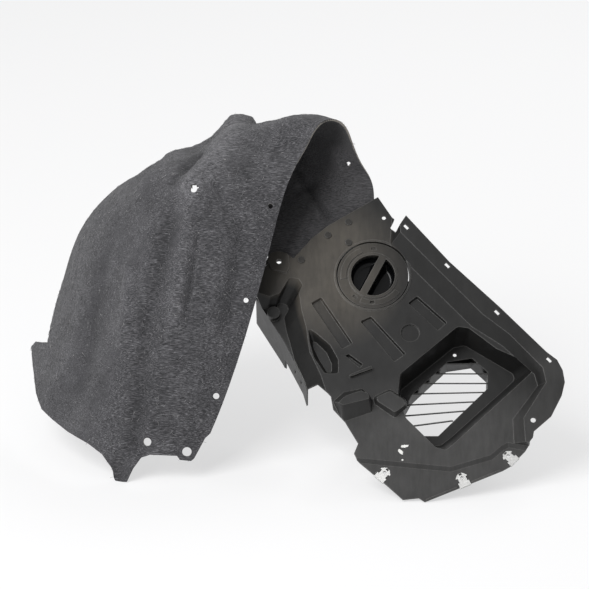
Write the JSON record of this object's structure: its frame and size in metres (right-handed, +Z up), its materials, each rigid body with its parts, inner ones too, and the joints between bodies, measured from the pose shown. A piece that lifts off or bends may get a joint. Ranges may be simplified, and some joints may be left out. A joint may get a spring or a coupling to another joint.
{
  "type": "wheel arch liner",
  "caption": "Wheel arch liner: moulded grey felt arch riveted to a dark plastic front panel with a louvred air duct, a round twist-off access cover, a stepped flange and clip-on spring nuts.",
  "frame": {"origin": "middle of the resting footprint's bounding box, on the floor", "axes": "+X along the open side from the felt leg to the plastic panel, +Y inboard, +Z up as it stands free on a floor"},
  "size_m": [0.934, 0.556, 0.5683],
  "materials": {
    "felt": "needle-punched grey felt, matt and fibrous",
    "panel_plastic": "dark grey moulded plastic, fine grain, dusty",
    "cover_plastic": "dark grey moulded plastic",
    "rivet_plastic": "black plastic",
    "zinc": "bright zinc plate"
  },
  "bodies": {
    "liner": {"felt_liner": "felt", "front_panel": "panel_plastic", "seam_rivets": "rivet_plastic", "spring_nut_left": "zinc", "spring_nut_middle": "zinc", "spring_nut_right": "zinc"},
    "access_cover": {"access_cover": "cover_plastic"}
  },
  "joints": [
    {"name": "cover_twist", "type": "hinge", "parent": "liner", "child": "access_cover", "pos_m": [0.142, 0.0031, 0.30585], "axis": [0, -0.7314, 0.682], "range_deg": [0, 40]}
  ]
}
